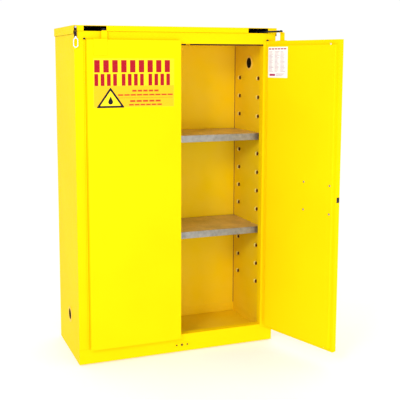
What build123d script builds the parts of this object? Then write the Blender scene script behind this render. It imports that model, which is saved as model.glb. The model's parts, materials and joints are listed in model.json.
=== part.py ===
from build123d import *
import math
import os

os.makedirs("parts", exist_ok=True)

# Flammable storage cabinet: double-wall steel box, two self-closing doors, three-point latch.
# Millimetres. Floor at z = 0, front faces -Y, origin on the floor under the middle of the body.

# ---- driving sizes -------------------------------------------------------------------------
width = 1067.0              # outer shell, side to side
depth = 457.0               # outer shell, front to back
height = 1686.0             # floor to top of the cap
sheet = 1.2                 # 18 gauge steel
air_space = 38.0            # between the two walls
foot_projection = 6.0       # levelling feet below the shell
touch_gap = 0.3             # between pieces that must not rub

# cap over the closers
cap_height = 41.0           # side and back flange
cap_front_height = 27.0     # front flange, and height of the arm slots
cap_overhang = 4.0
cap_rail_x = 150.0
cap_rail_width = 40.0
cap_rail_end = 38.5         # rail end to the front and back of the body

# front frame
stile_width = 69.0
header_drop = 43.0          # underside of the header below the top of the shell
header_seam = 25.0          # stile ends this far below the top of the shell
sill_height = 91.0          # top of the sill above the bottom of the shell
sill_lip = 14.0             # part of the sill between the stiles
sump_depth = 50.0
frame_depth = 40.0          # depth of stile, header and sill returns

# doors
hinge_inset = 48.3          # hinge axis from the side of the shell
knuckle_radius = 3.5
knuckle_gap = 0.4
hinge_pin_radius = 1.5
running_gap = 0.05
knuckle_pairs = 15
leaf_reach = 19.5
door_open_angle = 108.0     # right door stands open by this much
meeting_gap = 4.0           # between the two doors
door_hinge_gap = 6.0        # outer pan starts this far from the hinge axis
outer_pan_depth = 26.0
inner_pan_depth = 19.0
door_top_lap = 17.0         # outer pan over the header
door_bottom_lap = 14.0      # outer pan over the sill
pan_clearance = 4.0         # inner pan to the frame opening
pan_top_clearance = 8.0
pan_meeting_inset = 12.0    # inner pan from the free edge
door_flange = 20.0          # inward flange of the outer pan

# latch
latch_edge = 110.7          # latch centre from the free edge
latch_z = 848.0
screw_span_x = 168.0
screw_span_z = 140.0
case_width = 186.0
case_height = 158.0
case_depth = 15.0
case_wall = 1.5
dish_width = 150.0
dish_height = 120.0
dish_depth = 19.0
dish_wall = 2.5
bezel = 8.0
paddle_width = 100.0
paddle_height = 80.0
paddle_thickness = 4.0
paddle_rest_angle = 15.0    # held off its seat while the door is open
lock_radius = 8.5
rod_radius = 4.0
rod_from_latch = 65.0       # rods beyond the latch centre, inside its screws
rod_offset = 12.5           # rods behind the hinge axis, inside the inner pan
rod_hole_radius = 5.0
rod_tip_gap = 1.0           # held-back rod tip to header or sill
bolt_height = 24.0
bolt_thickness = 16.0
bolt_length = 30.0
bolt_proud = 2.0            # held-back slam bolt beyond the door edge

# closers in the cap
arm_radius = 95.0           # door bracket pivot from the hinge axis
tail_inset = 107.7          # tail stud from the hinge axis, towards the middle
tail_back = 188.5           # tail stud behind the front
arm_level = 20.0            # arm centre line below the top of the cap
ear_gap = 0.5               # between the bracket's ear and the rod's eye
arm_rod_radius = 5.0
tube_radius = 9.0
tube_bore = 7.0
tube_start = 9.0
tube_end = 165.0
rod_length = 174.0          # eye centre to inner end
eye_radius = 9.0
eye_thickness = 8.0
bracket_sheet = 2.5
bracket_width = 67.0
bracket_start = 38.0        # bracket plate from the hinge axis
bracket_drop = 76.0         # bracket plate below the top of the door
tab_width = 30.0
tab_offset = 10.0           # upright tab in front of the hinge axis
slot_clearance = 0.3        # arm slot short of the tab
slot_past_hinge = 2.3

# shelves
shelf_pitch = 101.6
support_count = 12
support_drop = 177.6        # top support below the header
support_front = 112.9       # front column of supports behind the front
support_back = 69.8         # back column in front of the inner back
support_radius = 12.0
support_reach = 13.0
support_round = 7.0
shelf_slots = {"shelf_upper": 3, "shelf_lower": 8}
shelf_rise = 14.4           # deck above the support centre
shelf_lip = 35.0
shelf_lip_return = 12.0
shelf_front = 65.5          # shelf lip behind the front
shelf_side_gap = 2.6
shelf_back_gap = 5.0

# vents
vent_bore = 58.0
vent_tube_wall = 3.0
vent_flange = 80.0
vent_flange_thickness = 3.0
vent_drop = 139.0           # upper vent below the top of the shell
vent_rise = 204.0           # lower vent above the bottom of the shell
lower_vent_y = -30.0
arrester_thickness = 3.0
arrester_set_back = 1.0     # behind the inner face of the collar
bung_thickness = 14.0

# feet
foot_inset_x = 46.0
foot_inset_y = 43.5
foot_pad_radius = 16.0
foot_pad_thickness = 5.0
foot_stud_radius = 4.9
foot_stud_top = 40.0
foot_nut_height = 10.0

# ground connection
ground_x = 12.0
ground_z = 42.0
ground_plate_size = (76.0, 22.0, 3.0)
ground_screw_span = 58.6
ground_thread_radius = 3.2
ground_nut_length = 6.0

# hold-open link at the left corner
link_inset = 5.0            # from the side of the shell
link_top = 10.0             # stud below the top of the cap
link_length = 48.0
link_width = 13.0
link_sheet = 1.6
link_step = 18.0            # upper hole of the lower strap below the stud
strap_length = 30.0         # hole to hole of the upper strap
hook_width = 24.0
hook_length = 46.0
hook_wire = 4.0
hook_thickness = 2.6

# labels
label_film = 0.3
front_label_start = 35.0    # from the hinge axis
front_label_width = 410.0
front_label_height = 236.0
front_label_drop = 90.0     # below the top of the door
inner_label_start = 27.0
inner_label_width = 136.0
inner_label_height = 156.0
inner_label_drop = 6.0      # below the top of the inner pan

# wall spacers
spacer_columns = 4
spacer_pitch = 240.0
spacer_width = 50.0
spacer_end_gap = 42.0       # spacer ends to the header and to the sill

# ---- worked out from those -----------------------------------------------------------------
half = width / 2
front = -depth / 2
back = depth / 2
bottom = foot_projection
shell_top = height - cap_height
wall = air_space + 2 * sheet
inner_half = half - wall
inner_back_y = back - wall
opening_half = half - stile_width
opening_top = shell_top - header_drop
sill_top = bottom + sill_height
sump_floor = sill_top - sump_depth
seam_top = shell_top - header_seam
seam_bottom = sill_top - sill_lip
frame_back = front + frame_depth
header_top = height - cap_front_height - touch_gap

hinge_x = half - hinge_inset
hinge_y = front - knuckle_radius - knuckle_gap
door_end = hinge_x - meeting_gap / 2
door_top = opening_top + door_top_lap
door_bottom = sill_top - door_bottom_lap
pan_start = hinge_x - opening_half + pan_clearance
pan_end = door_end - pan_meeting_inset
pan_top = opening_top - pan_top_clearance
pan_bottom = sill_top + pan_clearance
latch_x = door_end - latch_edge
rod_x = latch_x + rod_from_latch
arm_z = height - arm_level
ear_top = arm_z - eye_thickness / 2 - ear_gap
tail_x = hinge_x - tail_inset
tail_y = front + tail_back
link_x = -half + link_inset
foot_x = half - foot_inset_x
foot_y = depth / 2 - foot_inset_y
support_top = opening_top - support_drop
shelf_front_y = front + shelf_front
vents = {
    "upper": (1, 0.0, shell_top - vent_drop),
    "lower": (-1, lower_vent_y, bottom + vent_rise),
}


def box(x0, x1, y0, y1, z0, z1):
    """Block between two corners."""
    size = (abs(x1 - x0), abs(y1 - y0), abs(z1 - z0))
    middle = ((x0 + x1) / 2, (y0 + y1) / 2, (z0 + z1) / 2)
    return Pos(*middle) * Box(*size)


def rod(radius, start, end):
    """Round bar between two points."""
    a, b = Vector(*start), Vector(*end)
    plane = Plane(origin=a, z_dir=(b - a).normalized())
    return extrude(plane * Circle(radius), (b - a).length)


def door_box(s0, s1, n0, n1, z0, z1):
    """Block on the closed right door: s from the hinge axis, n outwards from it."""
    return box(hinge_x - s1, hinge_x - s0, hinge_y - n1, hinge_y - n0, z0, z1)


def door_point(s, n, z):
    """Point on the closed right door."""
    return (hinge_x - s, hinge_y - n, z)


def mirrored(shape):
    """The same piece on the left half."""
    return mirror(shape, about=Plane.YZ)


def opened(shape):
    """Turns a closed right door piece to where it stands open."""
    return shape.rotate(Axis((hinge_x, hinge_y, 0), (0, 0, 1)), door_open_angle)


def save(node, *shapes):
    """Writes one node; several shapes are a group of separate solids."""
    solids = [solid for shape in shapes for solid in shape.solids()]
    shape = solids[0] if len(solids) == 1 else Compound(children=solids)
    export_step(shape, f"parts/{node}.step")


# ---- outer shell ---------------------------------------------------------------------------
def side_panel():
    """Right outer side."""
    return box(half - sheet, half, front + sheet, back, bottom, shell_top)


def vent_hole(side, y, z, radius):
    """Round cutter through both walls of one side."""
    return rod(radius, (side * (inner_half - 5), y, z), (side * (half + 5), y, z))


tube_outer = vent_bore / 2 + vent_tube_wall
right_side = side_panel()
left_side = mirrored(side_panel())
for side, y, z in vents.values():
    hole = vent_hole(side, y, z, tube_outer)
    if side > 0:
        right_side -= hole
    else:
        left_side -= hole
save("outer_right_side", right_side)
save("outer_left_side", left_side)
save("outer_back", box(-half + sheet, half - sheet, back - sheet, back, bottom, shell_top))

outer_top = box(-half + sheet, half - sheet, front + sheet, back - sheet, shell_top - sheet, shell_top)
save("outer_top", outer_top)

feet = {
    "front_left": (-foot_x, -foot_y),
    "front_right": (foot_x, -foot_y),
    "back_left": (-foot_x, foot_y),
    "back_right": (foot_x, foot_y),
}
outer_bottom = box(-half + sheet, half - sheet, front + sheet, back - sheet, bottom, bottom + sheet)
nuts = []
for x, y in feet.values():
    outer_bottom -= rod(foot_stud_radius + touch_gap, (x, y, bottom - 1), (x, y, bottom + 5))
    seat = bottom + sheet
    nut = extrude(Plane(origin=(x, y, seat)) * RegularPolygon(foot_pad_radius - 3, 6), foot_nut_height)
    nut -= rod(foot_stud_radius + running_gap, (x, y, seat - 1), (x, y, seat + foot_nut_height + 1))
    nuts.append(nut)
save("outer_bottom", outer_bottom)
save("foot_nuts", *nuts)

for name, (x, y) in feet.items():
    foot = rod(foot_pad_radius, (x, y, 0), (x, y, foot_pad_thickness))
    foot = chamfer(foot.edges().group_by(Axis.Z)[-1], 2.0)
    foot += rod(foot_stud_radius, (x, y, foot_pad_thickness), (x, y, foot_stud_top))
    save(f"foot_{name}", foot)

# hat-section spacers keep the two back walls apart
spacers = []
spacer_low, spacer_high = sill_top + spacer_end_gap, opening_top - spacer_end_gap
for i in range(spacer_columns):
    x0 = (i - (spacer_columns - 1) / 2) * spacer_pitch - spacer_width / 2
    x1 = x0 + spacer_width
    outside = box(x0, x1, inner_back_y + sheet, back - sheet, spacer_low, spacer_high)
    inside = box(x0 + sheet, x1 - sheet, inner_back_y + 2 * sheet, back, spacer_low - 1, spacer_high + 1)
    spacers.append(outside - inside)
save("wall_spacers", *spacers)


# ---- front frame ---------------------------------------------------------------------------
def stile():
    """Right stile: face, return into the opening and back flange."""
    z0, z1 = seam_bottom + touch_gap, seam_top
    face = box(opening_half, half, front, front + sheet, z0, z1)
    inner_return = box(opening_half, opening_half + sheet, front, frame_back, z0, z1)
    back_flange = box(opening_half, inner_half + sheet, frame_back - sheet, frame_back, z0, z1)
    return face + inner_return + back_flange


save("stile_right", stile())
save("stile_left", mirrored(stile()))

rod_hole_x = hinge_x - rod_x
rod_y = hinge_y + rod_offset
lip_half = opening_half - touch_gap
header = box(-half, half, front, front + sheet, seam_top + touch_gap, header_top)
header += box(-lip_half, lip_half, front, front + sheet, opening_top, seam_top + touch_gap)
header += box(-lip_half, lip_half, front, frame_back, opening_top, opening_top + sheet)
header += box(-half, half, front, front + 15, header_top - sheet, header_top)
header -= rod(rod_hole_radius, (rod_hole_x, rod_y, opening_top - 1), (rod_hole_x, rod_y, opening_top + 5))
save("header", header)

base_front = box(-half, half, front, front + sheet, bottom, seam_bottom)
base_front += box(-lip_half, lip_half, front, front + sheet, seam_bottom, sill_top)
weld_nut = Plane(origin=(ground_x, front + sheet, ground_z), z_dir=(0, 1, 0)) * RegularPolygon(8.0, 6)
base_front += extrude(weld_nut, ground_nut_length)
base_front -= rod(ground_thread_radius, (ground_x, front - 1, ground_z), (ground_x, front + 20, ground_z))
save("base_front", base_front)

door_sill = box(-lip_half, lip_half, front + sheet, frame_back, sill_top - sheet, sill_top)
door_sill += box(-lip_half, lip_half, frame_back - sheet, frame_back, sump_floor, sill_top)
door_sill -= rod(rod_hole_radius, (rod_hole_x, rod_y, sill_top - 5), (rod_hole_x, rod_y, sill_top + 1))
save("door_sill", door_sill)


# ---- inner box -----------------------------------------------------------------------------
def inner_side():
    """Right inner side with its pressed shelf supports."""
    plate = box(inner_half, inner_half + sheet, frame_back, inner_back_y, sump_floor - sheet, opening_top)
    for y in (front + support_front, inner_back_y - support_back):
        for i in range(support_count):
            z = support_top - i * shelf_pitch
            lug = rod(support_radius, (inner_half, y, z), (inner_half - support_reach, y, z))
            lug = fillet(lug.edges().group_by(Axis.X)[0], support_round)
            plate += lug
    return plate


inner_right = inner_side()
inner_left = mirrored(inner_side())
for side, y, z in vents.values():
    hole = vent_hole(side, y, z, tube_outer)
    if side > 0:
        inner_right -= hole
    else:
        inner_left -= hole
save("inner_right_side", inner_right)
save("inner_left_side", inner_left)

inner_wide = inner_half + sheet
inner_low = sump_floor - sheet
inner_rear = inner_back_y + sheet
save("inner_back", box(-inner_wide, inner_wide, inner_back_y, inner_rear, inner_low, opening_top))
save("inner_top", box(-inner_wide, inner_wide, frame_back, inner_rear, opening_top, opening_top + sheet))

pan_half = inner_half - sheet
sump_pan = box(-inner_half, inner_half, frame_back, inner_back_y, inner_low, sill_top - sheet)
sump_pan -= box(-pan_half, pan_half, frame_back + sheet, inner_back_y - sheet, sump_floor, sill_top)
save("sump_pan", sump_pan)


# ---- shelves -------------------------------------------------------------------------------
def shelf(level):
    """Galvanised tray shelf whose side flanges stand on the supports of one level."""
    centre = support_top - level * shelf_pitch
    top = centre + shelf_rise
    side = inner_half - shelf_side_gap
    rear = inner_back_y - shelf_back_gap
    rest = centre + support_radius
    lip_low = top - shelf_lip
    deck = box(-side, side, shelf_front_y, rear, top - sheet, top)
    lip = box(-side, side, shelf_front_y, shelf_front_y + sheet, lip_low, top)
    corners = [e for e in lip.edges().filter_by(Axis.Y) if e.center().Z < lip_low + 1]
    lip = fillet(corners, 10.0)
    return_end = side - shelf_lip_return
    return_back = shelf_front_y + shelf_lip_return
    lip_return = box(-return_end, return_end, shelf_front_y, return_back, lip_low, lip_low + sheet)
    body = deck + lip + lip_return
    for x in (-side, side - sheet):
        body += box(x, x + sheet, shelf_front_y + 14, rear, rest, top)
    body += box(-side, side, rear - sheet, rear, top - 15, top)
    return body


for name, level in shelf_slots.items():
    save(name, shelf(level))


# ---- vents ---------------------------------------------------------------------------------
def vent_pieces(side, y, z):
    """Collar through both walls, flame arrester disc and screwed bung."""
    x0, x1 = inner_half - vent_flange_thickness, half + vent_flange_thickness
    collar = rod(tube_outer, (x0, y, z), (x1, y, z))
    collar += rod(vent_flange / 2, (x0, y, z), (inner_half, y, z))
    collar += rod(vent_flange / 2, (half, y, z), (x1, y, z))
    collar -= rod(vent_bore / 2, (inner_half - 10, y, z), (half + 10, y, z))
    face = x0 + arrester_set_back
    disc = rod(vent_bore / 2, (face, y, z), (face + arrester_thickness, y, z))
    for ring, count in ((9.0, 6), (17.0, 12), (24.0, 18)):
        for i in range(count):
            angle = 2 * math.pi * i / count
            cy, cz = y + ring * math.cos(angle), z + ring * math.sin(angle)
            disc -= rod(2.2, (face - 1, cy, cz), (face + arrester_thickness + 1, cy, cz))
    end = half + 1
    bung = rod(vent_bore / 2 - touch_gap, (end - bung_thickness, y, z), (end, y, z))
    bung -= box(end - 7, end + 1, y - 11, y + 11, z - 11, z + 11)
    pieces = [collar, disc, bung]
    return pieces if side > 0 else [mirrored(piece) for piece in pieces]


sets = [vent_pieces(*values) for values in vents.values()]
for name, pieces in zip(("vent_collars", "flame_arresters", "vent_bungs"), zip(*sets)):
    save(name, *pieces)


# ---- cap -----------------------------------------------------------------------------------
cap_half = half + cap_overhang
cap_front = front - cap_overhang
cap_back = back + cap_overhang
top_cap = box(-cap_half, cap_half, cap_front, cap_back, shell_top, height)
top_cap = fillet(top_cap.edges().group_by(Axis.Z)[-1], 2.5)
inside = (-cap_half + sheet, cap_half - sheet, cap_front + sheet, cap_back - sheet)
top_cap -= box(*inside, shell_top - 1, height - sheet)
front_edge = height - cap_front_height
top_cap -= box(-cap_half - 1, cap_half + 1, cap_front - 1, cap_front + sheet + 0.5, shell_top - 1, front_edge)
slot_inner = hinge_x - arm_radius - tab_width / 2 + slot_clearance
for side in (1, -1):
    slot_edges = sorted((side * slot_inner, side * (hinge_x + slot_past_hinge)))
    top_cap -= box(*slot_edges, cap_front - 1, cap_front + sheet + 3, shell_top, height - 3.0)
save("top_cap", top_cap)

rails = []
rail_y = depth / 2 - cap_rail_end
for x0 in (-cap_rail_x, cap_rail_x):
    x1 = x0 + cap_rail_width
    channel = box(x0, x1, -rail_y, rail_y, shell_top, height - sheet)
    channel -= box(x0 + sheet, x1 + 1, -rail_y - 1, rail_y + 1, shell_top + sheet, height - 2 * sheet)
    rails.append(channel)
save("cap_rails", *rails)

# ---- ground connection ---------------------------------------------------------------------
plate_w, plate_h, plate_t = ground_plate_size
plate = Pos(ground_x, front - plate_t / 2, ground_z) * Box(plate_w, plate_t, plate_h)
plate = fillet(plate.edges().filter_by(Axis.Y), 5.0)
plate -= rod(ground_thread_radius, (ground_x, front - 10, ground_z), (ground_x, front + 10, ground_z))
save("ground_plate", plate)
screws = []
for x in (ground_x - ground_screw_span / 2, ground_x + ground_screw_span / 2):
    face = front - plate_t
    head = rod(4.0, (x, face, ground_z), (x, face - 2.2, ground_z))
    head = fillet(head.edges().group_by(Axis.Y)[0], 1.2)
    head -= box(x - 3, x + 3, face - 3, face - 1.4, ground_z - 0.5, ground_z + 0.5)
    screws.append(head)
save("ground_screws", *screws)


# ---- piano hinges --------------------------------------------------------------------------
hinge_low, hinge_high = door_bottom + 1, door_top - 1
knuckle_length = (hinge_high - hinge_low) / (2 * knuckle_pairs)


def knuckle_zone(i, radius, grow):
    """Cylinder round the hinge axis over the i-th knuckle."""
    z0 = hinge_low + i * knuckle_length - grow
    z1 = z0 + knuckle_length + 2 * grow
    return rod(radius, (hinge_x, hinge_y, z0), (hinge_x, hinge_y, z1))


def hinge_leaf(plate, first):
    """One leaf: its plate, every second knuckle, and room for the other leaf's knuckles."""
    last = 2 * knuckle_pairs
    room = knuckle_radius + knuckle_gap
    own = [knuckle_zone(i, knuckle_radius, -knuckle_gap / 2) for i in range(first, last, 2)]
    other = [knuckle_zone(i, room, knuckle_gap / 2) for i in range(1 - first, last, 2)]
    low, high = (hinge_x, hinge_y, hinge_low - 5), (hinge_x, hinge_y, hinge_high + 5)
    leaf = plate + own
    leaf -= other
    leaf -= rod(hinge_pin_radius + running_gap, low, high)
    return leaf


frame_plate = box(hinge_x - leaf_reach, hinge_x, front - sheet, front, hinge_low, hinge_high)
frame_leaf = hinge_leaf(frame_plate, 0)
door_plate = door_box(0, leaf_reach, -sheet, 0, hinge_low, hinge_high)
door_leaf = hinge_leaf(door_plate, 1)
hinge_pin = rod(hinge_pin_radius, (hinge_x, hinge_y, hinge_low), (hinge_x, hinge_y, hinge_high))
save("hinge_frame_leaves", frame_leaf, mirrored(frame_leaf))
save("hinge_pins", hinge_pin, mirrored(hinge_pin))
save("hinge_leaf_right_door", opened(door_leaf))
save("hinge_leaf_left_door", mirrored(door_leaf))


# ---- doors ---------------------------------------------------------------------------------
def outer_pan():
    """Outer door skin with returned edges and an inward flange all round."""
    skin = door_box(door_hinge_gap, door_end, 0, outer_pan_depth, door_bottom, door_top)
    skin = fillet(skin.edges().group_by(Axis.Y)[0], 2.0)
    skin -= door_box(
        door_hinge_gap + sheet,
        door_end - sheet,
        sheet,
        outer_pan_depth - sheet,
        door_bottom + sheet,
        door_top - sheet,
    )
    skin -= door_box(
        pan_start + sheet + 2,
        pan_end - sheet - 2,
        -1,
        sheet + 1,
        pan_bottom + sheet + 2,
        pan_top - sheet - 2,
    )
    return skin


def inner_pan():
    """Inner door skin: a shallow tray that stands into the opening."""
    tray = door_box(pan_start, pan_end, -inner_pan_depth, 0, pan_bottom, pan_top)
    tray = fillet(tray.edges().group_by(Axis.Y)[-1], 2.0)
    tray -= door_box(
        pan_start + sheet, pan_end - sheet, -inner_pan_depth + sheet, 1, pan_bottom + sheet, pan_top - sheet
    )
    return tray


bolt_n0 = (outer_pan_depth - bolt_thickness) / 2 - 1
bolt_n1 = bolt_n0 + bolt_thickness
bolt_z0, bolt_z1 = latch_z - bolt_height / 2, latch_z + bolt_height / 2
bolt_slot = door_box(door_end - 10, door_end + 5, bolt_n0 - 1, bolt_n1 + 1, bolt_z0 - 1, bolt_z1 + 1)

save("left_door_outer", mirrored(outer_pan() - bolt_slot))
save("left_door_inner", mirrored(inner_pan()))
strike_s = door_end - sheet
strike = door_box(strike_s - 2, strike_s, sheet, outer_pan_depth - sheet, latch_z - 45, latch_z + 45)
save("left_door_strike", mirrored(strike - bolt_slot))

dish_s0, dish_s1 = latch_x - dish_width / 2, latch_x + dish_width / 2
dish_z0, dish_z1 = latch_z - dish_height / 2, latch_z + dish_height / 2
right_outer = outer_pan() - bolt_slot
right_outer -= door_box(dish_s0, dish_s1, outer_pan_depth - 5, outer_pan_depth + 1, dish_z0, dish_z1)
save("right_door_outer", opened(right_outer))

right_inner = inner_pan()
screw_points = [
    (latch_x + i * screw_span_x / 2, latch_z + j * screw_span_z / 2) for i in (-1, 1) for j in (-1, 1)
]
case_s0, case_s1 = latch_x - case_width / 2, latch_x + case_width / 2
case_z0, case_z1 = latch_z - case_height / 2, latch_z + case_height / 2
case_n0 = -inner_pan_depth + sheet
case_n1 = case_n0 + case_depth
case = door_box(case_s0, case_s1, case_n0, case_n1, case_z0, case_z1)
case -= door_box(
    case_s0 + case_wall,
    case_s1 - case_wall,
    case_n0 + case_wall,
    case_n1 + 1,
    case_z0 + case_wall,
    case_z1 - case_wall,
)
latch_screws = []
for s, z in screw_points:
    shank = rod(2.5, door_point(s, -inner_pan_depth, z), door_point(s, -inner_pan_depth + 7, z))
    head = rod(5.0, door_point(s, -inner_pan_depth - 2.4, z), door_point(s, -inner_pan_depth, z))
    head = fillet(head.edges().group_by(Axis.Y)[-1], 1.4)
    head -= door_box(s - 2.6, s + 2.6, -inner_pan_depth - 3, -inner_pan_depth - 1.2, z - 0.6, z + 0.6)
    head -= door_box(s - 0.6, s + 0.6, -inner_pan_depth - 3, -inner_pan_depth - 1.2, z - 2.6, z + 2.6)
    latch_screws.append(head + shank)
    cutter = rod(2.6, door_point(s, -inner_pan_depth - 1, z), door_point(s, -inner_pan_depth + 8, z))
    right_inner -= cutter
    case -= cutter
rod_low, rod_high = (door_point(rod_x, -rod_offset, z) for z in (door_bottom - 5, door_top + 5))
rod_cutter = rod(rod_hole_radius, rod_low, rod_high)
right_inner -= rod_cutter
case -= rod_cutter
save("right_door_inner", opened(right_inner))
save("latch_case", opened(case))
save("latch_screws", *[opened(s) for s in latch_screws])

guides = []
for z0, z1 in ((pan_top - 14, pan_top - sheet), (pan_bottom + sheet, pan_bottom + 14)):
    guide = rod(9.0, door_point(rod_x, -rod_offset, z0), door_point(rod_x, -rod_offset, z1))
    guide &= door_box(rod_x - 10, rod_x + 10, -inner_pan_depth + sheet, 5, z0, z1)
    guide -= rod(rod_radius + 0.1, rod_low, rod_high)
    guides.append(opened(guide))
save("rod_guides", *guides)


# ---- latch pieces --------------------------------------------------------------------------
def bullet_rod(z_tip, z_tail):
    """Latch rod with a tapered tip."""
    bar = rod(rod_radius, door_point(rod_x, -rod_offset, z_tail), door_point(rod_x, -rod_offset, z_tip))
    tip = bar.edges().group_by(Axis.Z)[-1 if z_tip > z_tail else 0]
    return chamfer(tip, 3.0, 1.8)


save("top_rod", opened(bullet_rod(opening_top - rod_tip_gap, latch_z + 50)))
save("bottom_rod", opened(bullet_rod(sill_top + rod_tip_gap, latch_z - 50)))

bolt_tip = door_end + bolt_proud
bolt = door_box(bolt_tip - bolt_length, bolt_tip, bolt_n0, bolt_n1, bolt_z0, bolt_z1)
nose = [e for e in bolt.edges().filter_by(Axis.Z) if e.center().X < hinge_x - door_end]
bolt = chamfer(sorted(nose, key=lambda e: e.center().Y)[-1:], 3.0)
save("slam_bolt", opened(bolt))

dish_skin = outer_pan_depth
dish_back = dish_skin - dish_depth
dish = door_box(
    dish_s0 - bezel, dish_s1 + bezel, dish_skin, dish_skin + dish_wall, dish_z0 - bezel, dish_z1 + bezel
)
dish = fillet(dish.edges().filter_by(Axis.Y), 6.0)
dish += door_box(
    dish_s0 + touch_gap,
    dish_s1 - touch_gap,
    dish_back,
    dish_skin + 1,
    dish_z0 + touch_gap,
    dish_z1 - touch_gap,
)
dish -= door_box(
    dish_s0 + dish_wall,
    dish_s1 - dish_wall,
    dish_back + 2,
    dish_skin + 5,
    dish_z0 + dish_wall,
    dish_z1 - dish_wall,
)
lock_s = latch_x + dish_width / 2 - 14


def lock_bar(radius, n0, n1):
    """Round bar on the lock's axis."""
    return rod(radius, door_point(lock_s, n0, latch_z), door_point(lock_s, n1, latch_z))


dish += lock_bar(lock_radius + 3, dish_back + 1, dish_skin)
dish -= lock_bar(lock_radius + 0.1, dish_back - 2, dish_skin + 3)

paddle_s = latch_x - 12
paddle_s0, paddle_s1 = paddle_s - paddle_width / 2, paddle_s + paddle_width / 2
paddle_n = dish_skin - 3.0
paddle_z = dish_z1 - 9.0


def pivot_bar(radius, s0, s1):
    """Round bar on the paddle's axis."""
    return rod(radius, door_point(s0, paddle_n, paddle_z), door_point(s1, paddle_n, paddle_z))


for s in (paddle_s0 - 7, paddle_s1 + 2):
    dish += door_box(s, s + 5, dish_back + 1, dish_skin, paddle_z - 6, paddle_z + 6)
dish -= pivot_bar(2.6, dish_s0 + 3, dish_s1 - 3)
save("latch_dish", opened(dish))

paddle = door_box(
    paddle_s0,
    paddle_s1,
    paddle_n - paddle_thickness / 2,
    paddle_n + paddle_thickness / 2,
    paddle_z - paddle_height,
    paddle_z + 4,
)
corners = [e for e in paddle.edges().filter_by(Axis.Y) if e.center().Z < paddle_z]
paddle = fillet(corners, 8.0)
paddle += pivot_bar(2.5, paddle_s0 - 6, paddle_s1 + 6)
paddle += pivot_bar(4.0, paddle_s0, paddle_s1)
paddle = paddle.rotate(Axis(door_point(0, paddle_n, paddle_z), (-1, 0, 0)), paddle_rest_angle)
save("paddle", opened(paddle))

cylinder = lock_bar(lock_radius, dish_back - 8, dish_skin + 1.5)
cylinder = fillet(cylinder.edges().group_by(Axis.Y)[0], 1.0)
cylinder -= door_box(lock_s - 0.8, lock_s + 0.8, dish_skin - 6, dish_skin + 3, latch_z - 4, latch_z + 4)
save("lock_cylinder", opened(cylinder))


# ---- closers -------------------------------------------------------------------------------
def arm_bar(radius, z0, z1):
    """Round bar on the bracket pivot of the closed right door."""
    return rod(radius, door_point(arm_radius, 0, z0), door_point(arm_radius, 0, z1))


def arm_bracket():
    """Bent bracket: plate on the door face, ledge over its top edge, upright tab and ear."""
    face, outside = outer_pan_depth, outer_pan_depth + bracket_sheet
    low, high = door_top - bracket_drop, door_top + bracket_sheet
    plate = door_box(bracket_start, bracket_start + bracket_width, face, outside, low, high)
    tab_s0, tab_s1 = arm_radius - tab_width / 2, arm_radius + tab_width / 2
    tab_back = tab_offset + bracket_sheet
    ledge = door_box(tab_s0, tab_s1, tab_offset, outside, door_top, high)
    tab = door_box(tab_s0, tab_s1, tab_offset, tab_back, door_top, ear_top)
    shoulders = [e for e in tab.edges().filter_by(Axis.Y) if e.center().Z > ear_top - 1]
    tab = fillet(shoulders, tab_width / 2 - eye_radius - 0.5)
    ear_low = ear_top - bracket_sheet
    ear = door_box(arm_radius - eye_radius, arm_radius + eye_radius, 0, tab_back, ear_low, ear_top)
    ear += arm_bar(eye_radius, ear_low, ear_top)
    return plate + ledge + tab + ear


save("arm_bracket_right", opened(arm_bracket()))
save("arm_bracket_left", mirrored(arm_bracket()))


def arm_pivot(angle):
    """Where the right door's bracket pivot is at a door angle."""
    a = math.radians(angle)
    return hinge_x - arm_radius * math.cos(a), hinge_y - arm_radius * math.sin(a)


def closer(angle):
    """Tube and rod of the right closer at a door angle."""
    px, py = arm_pivot(angle)
    reach = math.hypot(px - tail_x, py - tail_y)
    ux, uy = (px - tail_x) / reach, (py - tail_y) / reach

    def at(distance, z=arm_z):
        return (tail_x + ux * distance, tail_y + uy * distance, z)

    tube = rod(tube_radius, at(tube_start), at(tube_end))
    tube = fillet(tube.edges().filter_by(GeomType.CIRCLE), 1.5)
    tube -= rod(tube_bore, at(tube_start + 7), at(tube_end - 6))
    tube -= rod(arm_rod_radius + running_gap, at(tube_start + 10), at(tube_end + 5))
    tube += rod(eye_radius, at(0, arm_z - 5), at(0, arm_z + 5))
    tube -= rod(4.0 + 0.06, at(0, arm_z - 20), at(0, arm_z + 20))
    bar = rod(arm_rod_radius, at(reach - rod_length), at(reach))
    bar += rod(tube_bore - 0.1, at(reach - rod_length), at(reach - rod_length + 8))
    half_eye = eye_thickness / 2
    bar -= box(px - 12, px + 12, py - 12, py + 12, arm_z + half_eye, arm_z + 20)
    bar -= box(px - 12, px + 12, py - 12, py + 12, arm_z - 20, arm_z - half_eye)
    bar += rod(eye_radius, at(reach, arm_z - half_eye), at(reach, arm_z + half_eye))
    bar += rod(5.0, at(reach, arm_z), at(reach, arm_z + half_eye + 2))
    return tube, bar


for side, angle, place in (("right", door_open_angle, lambda s: s), ("left", 0.0, mirrored)):
    tube, bar = closer(angle)
    save(f"closer_tube_{side}", place(tube))
    save(f"closer_rod_{side}", place(bar))

studs = []
for side in (1, -1):
    base = (side * tail_x, tail_y)
    stud = rod(4.0, (*base, shell_top), (*base, arm_z + 8))
    stud += rod(9.0, (*base, shell_top), (*base, arm_z - 5 - touch_gap))
    stud += rod(7.0, (*base, arm_z + 5 + touch_gap), (*base, arm_z + 8))
    studs.append(stud)
save("closer_studs", *studs)

# ---- hold-open link ------------------------------------------------------------------------
link_z = height - link_top
link_y = cap_front - 3.0
stud = rod(3.0, (link_x, cap_front, link_z), (link_x, link_y - 4, link_z))
stud += rod(5.0, (link_x, link_y - 4, link_z), (link_x, link_y - 6, link_z))
stud += rod(5.0, (link_x, cap_front, link_z), (link_x, cap_front - 2.4, link_z))
save("hold_open_stud", stud)


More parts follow.
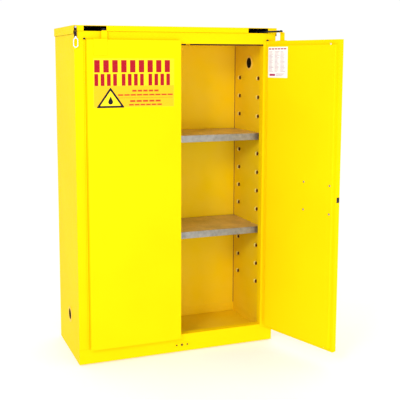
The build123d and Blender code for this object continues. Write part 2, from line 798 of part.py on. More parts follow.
def strap(z_top, z_low, y0):
    """Flat strap with round ends and a hole at each end."""
    r = link_width / 2
    bar = box(link_x - r, link_x + r, y0, y0 + link_sheet, z_low, z_top)
    bar += rod(r, (link_x, y0, z_top), (link_x, y0 + link_sheet, z_top))
    bar += rod(r, (link_x, y0, z_low), (link_x, y0 + link_sheet, z_low))
    for z in (z_top, z_low):
        bar -= rod(3.1, (link_x, y0 - 1, z), (link_x, y0 + 3, z))
    return bar


upper_y, lower_y = link_y - link_sheet, link_y - 2 * link_sheet
upper_strap = strap(link_z, link_z - strap_length, upper_y)
lower_strap = strap(link_z - link_step, link_z - link_length, lower_y)
upper_strap -= rod(3.1, (link_x, link_y - 5, link_z - link_step), (link_x, link_y + 3, link_z - link_step))
save("fusible_link", upper_strap + lower_strap)

hook_z = link_z - link_length
hook_y = lower_y - touch_gap
hook_plane = Plane(origin=(link_x, hook_y, hook_z), x_dir=(1, 0, 0), z_dir=(0, -1, 0))
outline = SlotOverall(hook_length, hook_width, rotation=90)
outline -= SlotOverall(hook_length - 2 * hook_wire, hook_width - 2 * hook_wire, rotation=90)
hook = extrude(hook_plane * Pos(0, -hook_length / 2 - 2.0) * outline, hook_thickness)
hook += extrude(hook_plane * Circle(5.0), hook_thickness)
pin_end = upper_y + touch_gap
hook += rod(3.0, (link_x, hook_y - 1, hook_z), (link_x, pin_end, hook_z))
hook += rod(4.5, (link_x, pin_end, hook_z), (link_x, upper_y + 1.5, hook_z))
save("hold_open_hook", hook)

# ---- labels --------------------------------------------------------------------------------
s0, s1 = front_label_start, front_label_start + front_label_width
z1 = door_top - front_label_drop
film = door_box(s0, s1, outer_pan_depth, outer_pan_depth + label_film, z1 - front_label_height, z1)
save("front_label", mirrored(film))
s0, s1 = inner_label_start, inner_label_start + inner_label_width
z1 = pan_top - inner_label_drop
film = door_box(s0, s1, -inner_pan_depth - label_film, -inner_pan_depth, z1 - inner_label_height, z1)
save("inner_label", opened(film))
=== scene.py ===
"""Flammable storage cabinet: materials, labels, trim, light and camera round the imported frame.

Metres, in the frame's own axes: floor at z = 0, doors facing -Y, and +X to the right seen from
the front.
"""

import json
import math
import random

import bmesh
import bpy
from mathutils import Matrix, Vector


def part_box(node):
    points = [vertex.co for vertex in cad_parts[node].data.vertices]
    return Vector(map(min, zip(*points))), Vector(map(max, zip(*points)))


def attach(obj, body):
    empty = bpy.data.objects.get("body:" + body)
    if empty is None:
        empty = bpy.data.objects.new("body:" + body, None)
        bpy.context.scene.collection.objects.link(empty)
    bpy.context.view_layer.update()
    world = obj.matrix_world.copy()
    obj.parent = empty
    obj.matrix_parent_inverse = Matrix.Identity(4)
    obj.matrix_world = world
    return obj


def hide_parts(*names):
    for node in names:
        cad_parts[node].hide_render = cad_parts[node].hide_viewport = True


MM = 0.001

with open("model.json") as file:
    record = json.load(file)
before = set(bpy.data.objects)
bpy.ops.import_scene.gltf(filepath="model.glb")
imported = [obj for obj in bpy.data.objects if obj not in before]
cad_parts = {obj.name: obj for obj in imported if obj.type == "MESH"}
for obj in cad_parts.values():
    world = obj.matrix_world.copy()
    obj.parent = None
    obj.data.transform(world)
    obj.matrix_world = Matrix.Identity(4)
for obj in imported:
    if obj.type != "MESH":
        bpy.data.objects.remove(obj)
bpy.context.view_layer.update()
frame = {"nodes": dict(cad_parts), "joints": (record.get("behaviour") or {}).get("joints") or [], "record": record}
nodes = frame["nodes"]
slot_of = {part["node"]: part["material_slot"] for part in frame["record"]["subparts"]}


# ---- shader helpers --------------------------------------------------------------------------
BEVEL_SAMPLES = 4


class Shader:
    """A principled material with short calls for the textures that feed it."""

    def __init__(self, name, roughness, metallic=0.0, ior=1.5):
        self.material = bpy.data.materials.new(name)
        self.material.use_nodes = True
        self.tree = self.material.node_tree
        self.bsdf = self.tree.nodes["Principled BSDF"]
        self.bsdf.inputs["Roughness"].default_value = roughness
        self.bsdf.inputs["Metallic"].default_value = metallic
        self.bsdf.inputs["IOR"].default_value = ior
        coordinates = self.tree.nodes.new("ShaderNodeTexCoord")
        self.place = coordinates.outputs["Object"]
        self.surface_normal = coordinates.outputs["Normal"]
        self.normal = None

    def link(self, output, target):
        self.tree.links.new(output, target)

    def stretch(self, scale):
        """Object coordinates scaled along each axis."""
        node = self.tree.nodes.new("ShaderNodeMapping")
        node.inputs["Scale"].default_value = scale
        self.link(self.place, node.inputs["Vector"])
        return node.outputs["Vector"]

    def noise(self, scale, detail=3.0, roughness=0.55, place=None):
        """Soft noise, scale in cells per metre."""
        node = self.tree.nodes.new("ShaderNodeTexNoise")
        node.inputs["Scale"].default_value = scale
        node.inputs["Detail"].default_value = detail
        node.inputs["Roughness"].default_value = roughness
        self.link(place or self.place, node.inputs["Vector"])
        return node.outputs["Fac"]

    def cells(self, scale):
        """One random tone per crystal-like cell."""
        node = self.tree.nodes.new("ShaderNodeTexVoronoi")
        node.inputs["Scale"].default_value = scale
        self.link(self.place, node.inputs["Vector"])
        return node.outputs["Color"]

    def split(self, vector):
        """The X, Y and Z outputs of a vector."""
        node = self.tree.nodes.new("ShaderNodeSeparateXYZ")
        self.link(vector, node.inputs["Vector"])
        return node.outputs

    def ramp(self, fac, *stops):
        """Colour ramp between two (place, colour) stops."""
        node = self.tree.nodes.new("ShaderNodeValToRGB")
        for i, (position, colour) in enumerate(stops):
            element = node.color_ramp.elements[i]
            element.position = position
            element.color = (*colour, 1.0)
        self.link(fac, node.inputs["Fac"])
        return node.outputs["Color"]

    def grey(self, fac, low, high, start=0.3, end=0.7):
        """Value from low to high as fac goes from start to end."""
        node = self.tree.nodes.new("ShaderNodeMapRange")
        node.inputs["From Min"].default_value = start
        node.inputs["From Max"].default_value = end
        node.inputs["To Min"].default_value = low
        node.inputs["To Max"].default_value = high
        self.link(fac, node.inputs["Value"])
        return node.outputs["Result"]

    def mix(self, fac, first, second):
        """First colour at 0, second at 1; each is a colour or an output."""
        node = self.tree.nodes.new("ShaderNodeMix")
        node.data_type = "RGBA"
        self.link(fac, node.inputs["Factor"])
        for key, value in (("A", first), ("B", second)):
            socket = [s for s in node.inputs if s.name == key and s.type == "RGBA"][0]
            if isinstance(value, tuple):
                socket.default_value = (*value, 1.0)
            else:
                self.link(value, socket)
        return [s for s in node.outputs if s.type == "RGBA"][0]

    def maths(self, operation, first, second):
        """One operation on two values, each a number or an output."""
        node = self.tree.nodes.new("ShaderNodeMath")
        node.operation = operation
        for socket, value in zip(node.inputs, (first, second)):
            if isinstance(value, (int, float)):
                socket.default_value = value
            else:
                self.link(value, socket)
        return node.outputs[0]

    def edges(self, radius):
        """Rounds hard edges in the shading."""
        node = self.tree.nodes.new("ShaderNodeBevel")
        node.samples = BEVEL_SAMPLES
        node.inputs["Radius"].default_value = radius
        self.normal = node.outputs["Normal"]
        self.link(self.normal, self.bsdf.inputs["Normal"])

    def bump(self, height, distance, strength):
        """Relief of the given depth, on top of the rounded edges."""
        node = self.tree.nodes.new("ShaderNodeBump")
        node.inputs["Distance"].default_value = distance
        node.inputs["Strength"].default_value = strength
        self.link(height, node.inputs["Height"])
        if self.normal is not None:
            self.link(self.normal, node.inputs["Normal"])
        self.normal = node.outputs["Normal"]
        self.link(self.normal, self.bsdf.inputs["Normal"])

    def colour(self, value):
        self.link(value, self.bsdf.inputs["Base Color"])

    def rough(self, value):
        self.link(value, self.bsdf.inputs["Roughness"])


# ---- materials -------------------------------------------------------------------------------
YELLOW = (0.97, 0.67, 0.002)
YELLOW_DEEP = (0.95, 0.635, 0.002)
INTERIOR_DUST = (0.97, 0.69, 0.07)
# painted highlight on the supports' tips and painted shade on their sides facing the front
SUPPORT_PAINTED_HIGHLIGHT = (1.0, 0.84, 0.22)
SUPPORT_PAINTED_SHADE = (0.10, 0.022, 0.006)
SETTLED_DUST = (0.86, 0.60, 0.22)
# painted shade under the cap: near-black, so that the slots read dark
UNDER_CAP_PAINTED_SHADE = (0.012, 0.012, 0.014)
UNDER_CAP_SHADE_TONES = ((0.010, 0.010, 0.012), (0.022, 0.021, 0.022))
ZINC_TONES = ((0.14, 0.135, 0.12), (0.33, 0.32, 0.29))
SPANGLE = (0.44, 0.44, 0.42)
COLLAR_PAINT = ((0.93, 0.56, 0.05), (1.0, 0.70, 0.12))
INTERIOR = ("inner_back", "inner_top", "sump_pan")
INNER_SIDES = ("inner_left_side", "inner_right_side")
INK_FADE = 0.03             # how far the palest ink goes to white
OUTSIDE_IOR = 1.06          # low, so that the pale studio doesn't wash the yellow out
SATIN_IOR = 1.12            # low for the same reason
GRAIN_SCALE = 620.0         # orange peel of the powder coat, per metre
GRAIN_DEPTH = 0.05 * MM
CAP_SKIN = 0.6 * MM         # depth below the cap's outside that keeps the yellow; faces deeper in get the painted shade
FADE_IN = 6 * MM            # over which the painted highlight grows from the wall towards a support's tip
SUPPORT_START = 0.4 * MM    # past the wall's face, so the flat wall gets no painted shade


def yellow_base(name, ior=OUTSIDE_IOR):
    """Shader and paint colour of the powder coat: slow drift, orange peel, faint handling marks."""
    s = Shader(name, 0.4, ior=ior)
    s.edges(0.9 * MM)
    drift = s.noise(2.3, detail=2.0)
    marks = s.noise(38.0, detail=6.0, roughness=0.7)
    s.rough(s.grey(marks, 0.34, 0.46))
    s.bump(s.noise(GRAIN_SCALE, detail=2.0), GRAIN_DEPTH, 0.5)
    return s, s.ramp(drift, (0.30, YELLOW_DEEP), (0.62, YELLOW))


def powder_coat():
    s, paint = yellow_base("yellow_powder_coat")
    s.colour(paint)
    return s.material


def cap_coat_with_painted_shade():
    """Yellow outside; near-black painted shade on the hidden faces under the cap, so that the slots read dark."""
    s, paint = yellow_base("yellow_cap_painted_shade")
    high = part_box("top_cap")[1]
    place = s.split(s.place)
    inside = s.maths("LESS_THAN", place["Z"], high.z - CAP_SKIN)
    for axis, letter in ((0, "X"), (1, "Y")):
        away = s.maths("ABSOLUTE", place[letter], 0.0)
        within = s.maths("LESS_THAN", away, high[axis] - CAP_SKIN)
        inside = s.maths("MULTIPLY", inside, within)
    # painted shade on the faces hidden under the cap
    s.colour(s.mix(inside, paint, UNDER_CAP_PAINTED_SHADE))
    return s.material


def interior_coat(supports_from=None):
    """The paint inside the box, dusty and warmer.

    Nearer the middle than the given wall face it is a pressed support: its tip gets a painted
    highlight, and its side facing the front gets painted shade.
    """
    s, paint = yellow_base("yellow_interior_coat", ior=SATIN_IOR)
    dust = s.grey(s.noise(5.5, detail=4.0), 0.0, 0.35)
    dusty = s.mix(dust, paint, INTERIOR_DUST)
    if supports_from is None:
        s.colour(dusty)
        return s.material
    away = s.maths("ABSOLUTE", s.split(s.place)["X"], 0.0)
    # painted highlight, growing towards each support's tip
    highlighted = s.mix(s.grey(away, 0.85, 0.0, supports_from - FADE_IN, supports_from), dusty, SUPPORT_PAINTED_HIGHLIGHT)
    # painted shade on each support's side that faces the front
    stands_in = s.maths("LESS_THAN", away, supports_from - SUPPORT_START)
    shaded_front = s.grey(s.split(s.surface_normal)["Y"], 1.0, 0.0, -0.75, -0.45)
    s.colour(s.mix(s.maths("MULTIPLY", stands_in, shaded_front), highlighted, SUPPORT_PAINTED_SHADE))
    return s.material


def coloured(name, deep, light):
    """Satin paint with a slow drift between two tones."""
    s = Shader(name, 0.45, ior=SATIN_IOR)
    s.edges(0.6 * MM)
    s.colour(s.ramp(s.noise(9.0), (0.3, deep), (0.7, light)))
    s.bump(s.noise(GRAIN_SCALE, detail=2.0), GRAIN_DEPTH, 0.5)
    return s.material


def under_cap_painted_shade():
    """Painted shade for the tray under the cap: near-black, so that the slots read dark."""
    s = Shader("under_cap_painted_shade", 0.6)
    dark, light = UNDER_CAP_SHADE_TONES
    s.colour(s.ramp(s.noise(60.0), (0.3, dark), (0.7, light)))
    s.bump(s.noise(500.0), 0.05 * MM, 0.4)
    return s.material


def galvanised():
    """Zinc-coated sheet: spangle cells, roll streaks, dull patches and dust on top."""
    dark, light = ZINC_TONES
    s = Shader("galvanised", 0.4, metallic=0.85)
    s.edges(0.8 * MM)
    spangle = s.cells(95.0)
    streak = s.noise(60.0, detail=5.0, place=s.stretch((1.0, 0.06, 1.0)))
    patch = s.noise(9.0, detail=4.0)
    tone = s.maths("ADD", s.maths("MULTIPLY", streak, 0.6), s.maths("MULTIPLY", patch, 0.4))
    base = s.ramp(tone, (0.30, dark), (0.68, light))
    zinc = s.mix(s.grey(spangle, 0.0, 0.22, 0.0, 1.0), base, SPANGLE)
    faces_up = s.grey(s.split(s.surface_normal)["Z"], 0.0, 1.0, 0.6, 0.9)
    dust = s.maths("MULTIPLY", faces_up, s.grey(patch, 0.35, 0.75))
    s.colour(s.mix(dust, zinc, SETTLED_DUST))
    s.link(s.grey(dust, 0.85, 0.25, 0.0, 1.0), s.bsdf.inputs["Metallic"])
    s.rough(s.grey(spangle, 0.30, 0.48, 0.0, 1.0))
    s.bump(streak, 0.04 * MM, 0.4)
    return s.material


def plated(name, dark, light, roughness=0.3, scale=160.0):
    """Plated or bare metal with a mottled tone and fine machining bump."""
    s = Shader(name, roughness, metallic=0.95)
    s.edges(0.3 * MM)
    mottle = s.noise(scale, detail=4.0)
    s.colour(s.ramp(mottle, (0.32, dark), (0.68, light)))
    s.rough(s.grey(mottle, roughness * 0.75, roughness * 1.3))
    s.bump(s.noise(scale * 6.0, detail=2.0), 0.02 * MM, 0.5)
    return s.material


def painted(name, colour, roughness, scale=900.0, ior=1.35):
    """Paint or moulded plastic with a fine grain."""
    s = Shader(name, roughness, ior=ior)
    s.edges(0.5 * MM)
    lighter = tuple(min(1.0, c * 1.35 + 0.004) for c in colour)
    s.colour(s.ramp(s.noise(70.0, detail=5.0), (0.35, colour), (0.75, lighter)))
    s.rough(s.grey(s.noise(110.0), roughness * 0.85, roughness * 1.2))
    s.bump(s.noise(scale, detail=2.0), 0.06 * MM, 0.6)
    return s.material


def printed(name, colour):
    """Vinyl print: an even ink with slight mottling and a soft sheen."""
    s = Shader(name, 0.45, ior=SATIN_IOR)
    paler = tuple(c + (1.0 - c) * INK_FADE for c in colour)
    s.colour(s.ramp(s.noise(240.0, detail=4.0), (0.35, colour), (0.80, paler)))
    s.bump(s.noise(420.0), 0.02 * MM, 0.4)
    return s.material


materials = {
    "yellow_powder_coat": powder_coat(),
    "galvanised": galvanised(),
    "black_plastic": painted("black_plastic", (0.012, 0.012, 0.013), 0.45),
    "black_paint": painted("black_paint", (0.008, 0.008, 0.010), 0.34),
    "lock_metal": plated("lock_metal", (0.62, 0.62, 0.63), (0.82, 0.82, 0.83), 0.16),
    "zinc": plated("zinc", (0.50, 0.52, 0.55), (0.74, 0.76, 0.78), 0.28),
    "dark_tube": painted("dark_tube", (0.006, 0.006, 0.012), 0.32),
    "cast_zinc": plated("cast_zinc", (0.020, 0.020, 0.035), (0.11, 0.11, 0.15), 0.35, 110.0),
    "arrester": painted("arrester", (0.004, 0.003, 0.004), 0.6, 300.0, ior=1.15),
    "zinc_fastener": plated("zinc_fastener", (0.30, 0.26, 0.38), (0.52, 0.48, 0.58), 0.32, 260.0),
    "link_metal": painted("link_metal", (0.016, 0.005, 0.014), 0.45, ior=1.2),
    "front_label": printed("label_yellow", (0.95, 0.68, 0.006)),
    "inner_label": printed("label_white", (0.88, 0.86, 0.84)),
}
# painted shade: the cap's hidden faces, the top under the cap and the cap rails go near-black
cap_material = cap_coat_with_painted_shade()
under_cap_shade = under_cap_painted_shade()
special = {"top_cap": cap_material, "outer_top": under_cap_shade, "cap_rails": under_cap_shade}
special.update(dict.fromkeys(INTERIOR, interior_coat()))
special["vent_collars"] = coloured("collar_paint", *COLLAR_PAINT)
special["vent_bungs"] = painted("bung_plastic", (0.003, 0.002, 0.006), 0.85, ior=1.04)
special["ground_screws"] = painted("dark_screw", (0.045, 0.016, 0.012), 0.4, 300.0, ior=1.2)
wall_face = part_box("sump_pan")[1].x
# the inner sides carry the painted highlight and painted shade of the supports
special.update(dict.fromkeys(INNER_SIDES, interior_coat(wall_face)))
for name, obj in nodes.items():
    obj.data.materials.clear()
    obj.data.materials.append(special.get(name, materials[slot_of[name]]))


# ---- mesh helpers ----------------------------------------------------------------------------
def piece(name, bm, material, body, matrix=None):
    """Turns a bmesh into a named piece that rides on a body, or on none."""
    mesh = bpy.data.meshes.new(name)
    bmesh.ops.recalc_face_normals(bm, faces=bm.faces)
    bm.to_mesh(mesh)
    bm.free()
    obj = bpy.data.objects.new(name, mesh)
    bpy.context.scene.collection.objects.link(obj)
    mesh.materials.append(material)
    if matrix is not None:
        mesh.transform(matrix)
    if body:
        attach(obj, body)
    return obj


def prism(bm, points, low, high):
    """Solid between two heights over a closed outline of (u, v) points."""
    bottom = [bm.verts.new((u, v, low)) for u, v in points]
    top = [bm.verts.new((u, v, high)) for u, v in points]
    bm.faces.new(bottom[::-1])
    bm.faces.new(top)
    band(bm, bottom, top)


def arc(cx, cy, r, start, end, steps):
    """Points from one angle to another round a centre, both ends included."""
    angles = [start + (end - start) * i / steps for i in range(steps + 1)]
    return [(cx + r * math.cos(angle), cy + r * math.sin(angle)) for angle in angles]


def circle(cx, cy, r, steps):
    """Closed outline of a full circle, without its repeated last point."""
    return arc(cx, cy, r, 0.0, 2 * math.pi, steps)[:-1]


def band(bm, low, high):
    """Faces between two closed loops of as many vertices."""
    for i, vertex in enumerate(low):
        j = (i + 1) % len(low)
        bm.faces.new((vertex, low[j], high[j], high[i]))


def round_rect(u0, u1, v0, v1, r):
    """Outline of a rectangle with round corners."""
    quarter, steps = math.pi / 2, 4
    return (
        arc(u1 - r, v0 + r, r, -quarter, 0, steps)
        + arc(u1 - r, v1 - r, r, 0, quarter, steps)
        + arc(u0 + r, v1 - r, r, quarter, 2 * quarter, steps)
        + arc(u0 + r, v0 + r, r, 2 * quarter, 3 * quarter, steps)
    )


def block(bm, u0, u1, v0, v1, low, high, r=0.0):
    """Flat block, with round corners of radius r if there is one."""
    square = [(u0, v0), (u1, v0), (u1, v1), (u0, v1)]
    prism(bm, round_rect(u0, u1, v0, v1, r) if r else square, low, high)


def ring(bm, outer, inner, low, high):
    """Band between two outlines with the same number of points."""
    loops = []
    for points, height in ((outer, low), (inner, low), (inner, high), (outer, high)):
        loops.append([bm.verts.new((u, v, height)) for u, v in points])
    for first, second in zip(loops, loops[1:] + loops[:1]):
        band(bm, first, second)


def upright(origin, right, out):
    """Matrix that stands (u, v, w) up: u along right, v up, w along out."""
    up = Vector((0, 0, 1))
    right, out = Vector(right).normalized(), Vector(out).normalized()
    matrix = Matrix.Identity(4)
    for i, axis in enumerate((right, up, out)):
        matrix.col[i][:3] = axis
    matrix.col[3][:3] = origin
    return matrix


# ---- where things are ------------------------------------------------------------------------
joints = {joint["name"]: joint for joint in frame["joints"]}
hinge = Vector(joints["right_door_hinge"]["pos_m"])
open_angle = -math.radians(joints["right_door_hinge"]["range_deg"][0])
# on the open right door: from the hinge to the free edge, and out of its face
along = Vector((-math.cos(open_angle), -math.sin(open_angle), 0.0))
outwards = Vector((math.sin(open_angle), -math.cos(open_angle), 0.0))


def on_right_door(n):
    """Matrix for a sheet on the open right door, n out of its face, facing into the cabinet."""
    origin = hinge + outwards * n
    return upright((origin.x, origin.y, 0.0), along, -outwards)


# ---- trim ------------------------------------------------------------------------------------
# dark ribbed strip under the header: painted shade along the top of the opening
HEADER_SHADE_COLOUR = (0.020, 0.006, 0.010)
SHADE_STRIP_START, SHADE_STRIP_END = 3 * MM, 15 * MM      # behind the header's front
SHADE_STRIP_DEPTH = 6.5 * MM                       # clears the doors' inner pans
SHADE_STRIP_SIDE_GAP = 4 * MM
SHADE_STRIP_ROD_GAP = 13 * MM                      # open on each side of the latch rod
SHADE_STRIP_RIBS = 4
RIB_SHARE = 0.85                            # of each rib's pitch
RIB_ROUND = 1.4 * MM
BEAD_COLOUR = (0.30, 0.13, 0.015)
BEAD_RADIUS = 3 * MM
# radius and height in mm, from the rim up
PIN_HEAD = ((5.5, 0.0), (5.5, 4.5), (4.6, 6.2), (2.8, 7.2), (0.9, 7.6))
PIN_HEAD_LIFT = 0.4 * MM                    # above the door's top edge
PIN_STEM_RADIUS = 1.4 * MM
# dark ring round the ground plate's hole: painted shade
HOLE_SHADE_RADII = (6.4 * MM, 3.3 * MM)
HOLE_SHADE_SUNK, HOLE_SHADE_PROUD = -0.1 * MM, 0.8 * MM


def header_shade_strip():
    """Ribbed dark strip along the back of the header: painted shade along the top of the opening."""
    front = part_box("header")[0].y + SHADE_STRIP_START
    back_low, back_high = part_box("inner_back")
    left, right = back_low.x + SHADE_STRIP_SIDE_GAP, back_high.x - SHADE_STRIP_SIDE_GAP
    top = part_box("inner_top")[0].z
    rod_low, rod_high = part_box("top_rod")
    rod_x = hinge.x - ((rod_low + rod_high) / 2 - hinge).dot(along)     # with the door shut
    pitch = (SHADE_STRIP_END - SHADE_STRIP_START) / SHADE_STRIP_RIBS
    bm = bmesh.new()
    for i in range(SHADE_STRIP_RIBS):
        rib = front + i * pitch
        for start, end in ((left, rod_x - SHADE_STRIP_ROD_GAP), (rod_x + SHADE_STRIP_ROD_GAP, right)):
            block(bm, rib, rib + pitch * RIB_SHARE, top - SHADE_STRIP_DEPTH, top, start, end, r=RIB_ROUND)
    turn = Matrix(((0, 0, 1, 0), (1, 0, 0, 0), (0, 1, 0, 0), (0, 0, 0, 1)))
    # near-black painted shade
    shade_paint = painted("header_painted_shade", HEADER_SHADE_COLOUR, 0.7, ior=1.15)
    piece("header_shade_strip", bm, shade_paint, "cabinet", turn)


def corner_beads():
    """Dark brown fillet down the two back corners of the inner box."""
    wall, back = wall_face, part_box("inner_back")[0].y
    low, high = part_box("sump_pan")[1].z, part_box("inner_top")[0].z
    r = BEAD_RADIUS
    bm = bmesh.new()
    for side in (-1, 1):
        start = 0.0 if side > 0 else math.pi
        hollow = arc(side * (wall - r), back - r, r, start, math.pi / 2, 6)
        prism(bm, [(side * wall, back)] + hollow[::side], low, high)
    bead = painted("corner_dark_fillet", BEAD_COLOUR, 0.55)
    piece("corner_beads", bm, bead, "cabinet")


def hinge_pin_heads():
    """Domed heads on the tops of the two hinge pins."""
    pin_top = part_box("hinge_pins")[1].z
    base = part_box("left_door_outer")[1].z + PIN_HEAD_LIFT
    bm = bmesh.new()
    for x in (-hinge.x, hinge.x):
        rings = []
        for radius, height in PIN_HEAD:
            outline = circle(x, hinge.y, radius * MM, 20)
            rings.append([bm.verts.new((u, v, base + height * MM)) for u, v in outline])
        for low, high in zip(rings, rings[1:]):
            band(bm, low, high)
        bm.faces.new(rings[0][::-1])
        bm.faces.new(rings[-1])
        prism(bm, circle(x, hinge.y, PIN_STEM_RADIUS, 12), pin_top, base + 1 * MM)
    piece("hinge_pin_heads", bm, materials["black_paint"], "cabinet")


def ground_hole_shade_ring():
    """Dark ring round the hole of the ground plate: painted shade that widens the dark of the hole."""
    low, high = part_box("ground_plate")
    x, z = (low.x + high.x) / 2, (low.z + high.z) / 2
    turn = upright((x, low.y, z), (1, 0, 0), (0, -1, 0))
    bm = bmesh.new()
    ring(bm, *(circle(0.0, 0.0, r, 24) for r in HOLE_SHADE_RADII), HOLE_SHADE_SUNK, HOLE_SHADE_PROUD)
    piece("ground_hole_shade_ring", bm, materials["black_paint"], "cabinet", turn)


header_shade_strip()
corner_beads()
hinge_pin_heads()
ground_hole_shade_ring()

# ---- front label -----------------------------------------------------------------------------
INK = 0.12 * MM             # height of a printed layer
INK_SUNK = 0.02 * MM        # how far it starts inside the film
DASH_GAP = 0.7              # between dashes, of their height
FILM_ROUND = 3 * MM
GLYPH_ROUND = 2 * MM
LOWER_PANEL = (0.90, 0.50, 0.006)
PANEL_SHARE = 0.444         # of the label's height
PANEL_MARGIN = 2 * MM
HEADING_RED = (0.40, 0.002, 0.012)
# height of the row's foot and top below the label's top, groups, gap in a group, gap between groups
HEADING_ROWS = (
    (67 * MM, 8 * MM, (9,), 17 * MM, 0.0),
    (131 * MM, 74 * MM, (4, 4, 4), 12 * MM, 24 * MM),
)
PRINT_ORANGE = (0.55, 0.06, 0.008)
# left and right end, height above the label's foot, line height (all in mm), number of dashes
SMALL_PRINT = (
    (-257, -122, 80, 9, 5),
    (-329, -48, 60, 7, 9),
    (-329, -48, 46, 1.2, 1),
    (-268, -111, 30, 9, 5),
    (-273, -105, 12, 7, 6),
)
SYMBOL_BLACK = (0.004, 0.003, 0.014)
SYMBOL_GROUND = (0.95, 0.72, 0.01)

label_low, label_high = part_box("front_label")
film = label_high.y - label_low.y
ink_low, ink_high = film - INK_SUNK, film + INK
front_of_label = upright((0.0, label_high.y, 0.0), (1, 0, 0), (0, -1, 0))


def sign_ink(name, colour, build):
    """One ink of the front label, built by a function that fills a mesh."""
    bm = bmesh.new()
    build(bm)
    piece(name, bm, printed(name, colour), "left_door", front_of_label)


def glyph_row(bm, u0, u1, v0, v1, groups, gap, space):
    """A row of plain upright blocks in groups, in place of words."""
    count = sum(groups)
    room = (u1 - u0) - gap * (count - len(groups)) - space * (len(groups) - 1)
    width = room / count
    u = u0
    for group in groups:
        for _ in range(group):
            block(bm, u, u + width, v0, v1, ink_low, ink_high, r=GLYPH_ROUND)
            u += width + gap
        u += space - gap


def greek(bm, u0, u1, v, height, groups, low, high):
    """A thin broken line in place of small print."""
    gap = height * DASH_GAP
    width = ((u1 - u0) - gap * (groups - 1)) / groups
    for i in range(groups):
        start = u0 + i * (width + gap)
        block(bm, start, start + width, v - height / 2, v + height / 2, low, high)


def lower_panel(bm):
    """Darker field behind the small print."""
    low, high = label_low.x + PANEL_MARGIN, label_high.x - PANEL_MARGIN
    top = label_low.z + PANEL_SHARE * (label_high.z - label_low.z)
    block(bm, low, high, label_low.z + PANEL_MARGIN, top, ink_low, film + INK * 0.4)


def heading(bm):
    """Two rows of large blocks."""
    u0, u1 = label_low.x + 5 * MM, label_high.x - 22 * MM
    for foot, top, groups, gap, space in HEADING_ROWS:
        glyph_row(bm, u0, u1, label_high.z - foot, label_high.z - top, groups, gap, space)


def small_print(bm):
    """Broken lines beside the symbol."""
    for u0, u1, rise, height, dashes in SMALL_PRINT:
        v = label_low.z + rise * MM
        greek(bm, u0 * MM, u1 * MM, v, height * MM, dashes, ink_low, ink_high)


bm = bmesh.new()
block(bm, label_low.x, label_high.x, label_low.z, label_high.z, 0.0, film, r=FILM_ROUND)
yellow_vinyl = materials["front_label"]
label_film = piece("front_label_film", bm, yellow_vinyl, "left_door", front_of_label)
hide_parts("front_label")
sign_ink("front_label_lower_panel", LOWER_PANEL, lower_panel)
sign_ink("front_label_heading", HEADING_RED, heading)
sign_ink("front_label_small_print", PRINT_ORANGE, small_print)

TRIANGLE_LEFT, TRIANGLE_RIGHT = label_low.x + 13 * MM, label_low.x + 155 * MM
TRIANGLE_FOOT, TRIANGLE_TOP = label_low.z - 1 * MM, label_low.z + 98 * MM
OUTLINE = 9.5 * MM          # width of the triangle's black band


def triangle(inset):
    """Corner points of the sign's triangle, moved inwards."""
    middle = (TRIANGLE_LEFT + TRIANGLE_RIGHT) / 2
    half = (TRIANGLE_RIGHT - TRIANGLE_LEFT) / 2
    slope = math.atan2(TRIANGLE_TOP - TRIANGLE_FOOT, half)
    side = inset / math.tan(slope / 2)
    top = inset / math.cos(slope)
    return [
        (TRIANGLE_LEFT + side, TRIANGLE_FOOT + inset),
        (TRIANGLE_RIGHT - side, TRIANGLE_FOOT + inset),
        (middle, TRIANGLE_TOP - top),
    ]


def rounded(points, r):
    """Outline through corner points with round corners."""
    outline, steps = [], 5
    count = len(points)
    for i in range(count):
        before, corner, after = (Vector(points[(i + k) % count]) for k in (-1, 0, 1))
        first, second = (before - corner).normalized(), (after - corner).normalized()
        cut = r / math.tan(first.angle(second) / 2)
        start, end = corner + first * cut, corner + second * cut
        for k in range(steps + 1):
            t = k / steps
            outline.append(tuple(start * (1 - t) ** 2 + corner * 2 * t * (1 - t) + end * t**2))
    return outline


def drop(bm, cx, cy, r, low, high):
    """A plain drop: a round foot drawn up to a point."""
    outline = arc(cx, cy, r, math.radians(150), math.radians(390), 16)
    for across, up in ((0.55, 1.25), (0.05, 2.3), (-0.45, 1.35)):
        outline.append((cx + r * across, cy + r * up))
    prism(bm, outline, low, high)


def symbol(bm):
    """Black triangle with a drop in it."""
    high = film + INK * 2
    outer, inner = rounded(triangle(0.0), 4 * MM), rounded(triangle(OUTLINE), 1.5 * MM)
    ring(bm, outer, inner, ink_low, high)
    centre = (TRIANGLE_LEFT + TRIANGLE_RIGHT) / 2
    drop(bm, centre, TRIANGLE_FOOT + 28 * MM, 12 * MM, ink_low, high)


sign_ink("front_label_symbol", SYMBOL_BLACK, symbol)
bm = bmesh.new()
prism(bm, triangle(8 * MM), ink_low, ink_high)
ground = printed("symbol_ground", SYMBOL_GROUND)
piece("front_label_symbol_ground", bm, ground, "left_door", front_of_label)

# ---- inner label -----------------------------------------------------------------------------
INNER_START, INNER_END = 27 * MM, 163 * MM      # along the door, from the hinge
INNER_FACE = -19 * MM                           # the inner pan's face, out of the door's plane
INNER_FILM = 0.3 * MM
INNER_RED = (0.42, 0.02, 0.10)
INNER_GREY = (0.50, 0.36, 0.42)
COLUMNS, LINES, FOOT_LINES = 3, 17, 3
LINE_PITCH, FOOT_PITCH = 6.2 * MM, 5 * MM
LINE_SHORT, LINE_LONG = 0.45, 0.86              # of a column's width

inner_low, inner_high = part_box("inner_label")
inner_ink_low, inner_ink_high = INNER_FILM - INK_SUNK, INNER_FILM + INK
inner_face = on_right_door(INNER_FACE)
bm = bmesh.new()
block(bm, INNER_START, INNER_END, inner_low.z, inner_high.z, 0.0, INNER_FILM, r=2.0 * MM)
white_vinyl = materials["inner_label"]
inner_film = piece("inner_label_film", bm, white_vinyl, "right_door", inner_face)
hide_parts("inner_label")


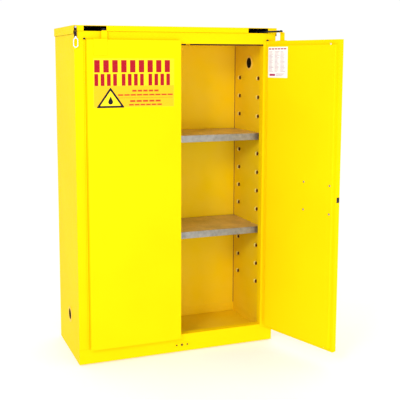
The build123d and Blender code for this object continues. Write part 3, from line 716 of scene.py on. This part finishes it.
def inner_ink(name, colour, build):
    """One ink of the inner label, built by a function that fills a mesh."""
    bm = bmesh.new()
    build(bm)
    piece(name, bm, printed(name, colour), "right_door", inner_face)


def inner_red(bm):
    """Red line at the top and red block at the foot."""
    low, high, top = inner_ink_low, inner_ink_high, inner_high.z - 10 * MM
    greek(bm, INNER_START + 4 * MM, INNER_END - 10 * MM, top, 6 * MM, 6, low, high)
    foot = inner_low.z + 9 * MM
    block(bm, INNER_START + 11 * MM, INNER_START + 50 * MM, foot, foot + 10 * MM, low, high)


def inner_grey(bm):
    """Columns of short grey lines, and three at the foot."""
    draw = random.Random(7)
    low, high = inner_ink_low, inner_ink_high
    width = (INNER_END - INNER_START - 16 * MM) / COLUMNS
    for column in range(COLUMNS):
        start = INNER_START + 6 * MM + column * width
        for line in range(LINES):
            z = inner_high.z - 24 * MM - line * LINE_PITCH
            length = width * draw.uniform(LINE_SHORT, LINE_LONG)
            block(bm, start, start + length, z - 1.1 * MM, z + 1.1 * MM, low, high)
    start = INNER_START + 56 * MM
    for line in range(FOOT_LINES):
        z = inner_low.z + 10 * MM + line * FOOT_PITCH
        end = INNER_START + (100 + 8 * line) * MM
        block(bm, start, end, z - 1 * MM, z + 1 * MM, low, high)


inner_ink("inner_label_red", INNER_RED, inner_red)
inner_ink("inner_label_lines", INNER_GREY, inner_grey)

# ---- floor, light and camera -----------------------------------------------------------------
WHITE = (1.0, 1.0, 1.0, 1.0)
FLOOR_HALF = 9.0
FLOOR_THICKNESS = 0.02
FLOOR_TONES = ((0.70, 0.70, 0.71), (0.74, 0.74, 0.75))
FLOOR_GLOW = 0.3
WORLD_STRENGTH = 1.02


def floor():
    """Pale floor, faintly lit from itself so that it fades into the backdrop."""
    bm = bmesh.new()
    block(bm, -FLOOR_HALF, FLOOR_HALF, -FLOOR_HALF, FLOOR_HALF, -FLOOR_THICKNESS, 0.0)
    s = Shader("floor", 0.7)
    dark, light = FLOOR_TONES
    s.colour(s.ramp(s.noise(3.0), (0.3, dark), (0.7, light)))
    s.bsdf.inputs["Emission Color"].default_value = WHITE
    s.bsdf.inputs["Emission Strength"].default_value = FLOOR_GLOW
    return piece("floor", bm, s.material, None)


floor()

world = bpy.data.worlds.new("studio")
bpy.context.scene.world = world
world.use_nodes = True
backdrop = world.node_tree.nodes["Background"]
backdrop.inputs["Color"].default_value = WHITE
backdrop.inputs["Strength"].default_value = WORLD_STRENGTH


def softbox(name, place, width, height, power):
    """Rectangular area light aimed at the middle of the cabinet."""
    data = bpy.data.lights.new(name, "AREA")
    data.shape = "RECTANGLE"
    data.size = width
    data.size_y = height
    data.energy = power
    light = bpy.data.objects.new(name, data)
    bpy.context.scene.collection.objects.link(light)
    light.location = place
    light.rotation_mode = "QUATERNION"
    light.rotation_quaternion = (MIDDLE - Vector(place)).to_track_quat("-Z", "Y")


MIDDLE = Vector((0.1, 0.0, 0.85))
softbox("key_light", (-3.2, -3.9, 3.1), 1.1, 1.1, 84.0)
softbox("fill_light", (0.1, -4.8, 0.8), 2.4, 1.2, 44.0)

CAMERA_PLACE = (-1.342, -3.856, 1.517)
CAMERA_YAW = 20.33
CAMERA_PITCH = -7.35
FOCAL_LENGTH = 1.92         # in frame widths
SENSOR = 36.0
camera_data = bpy.data.cameras.new("camera")
camera_data.sensor_width = SENSOR
camera_data.lens = FOCAL_LENGTH * SENSOR
camera_data.shift_x = 0.05
camera_data.shift_y = -0.10
camera = bpy.data.objects.new("camera", camera_data)
bpy.context.scene.collection.objects.link(camera)
camera.location = CAMERA_PLACE
camera.rotation_euler = (math.radians(90 + CAMERA_PITCH), 0.0, math.radians(-CAMERA_YAW))
bpy.context.scene.camera = camera
bpy.context.scene.view_settings.view_transform = "Standard"
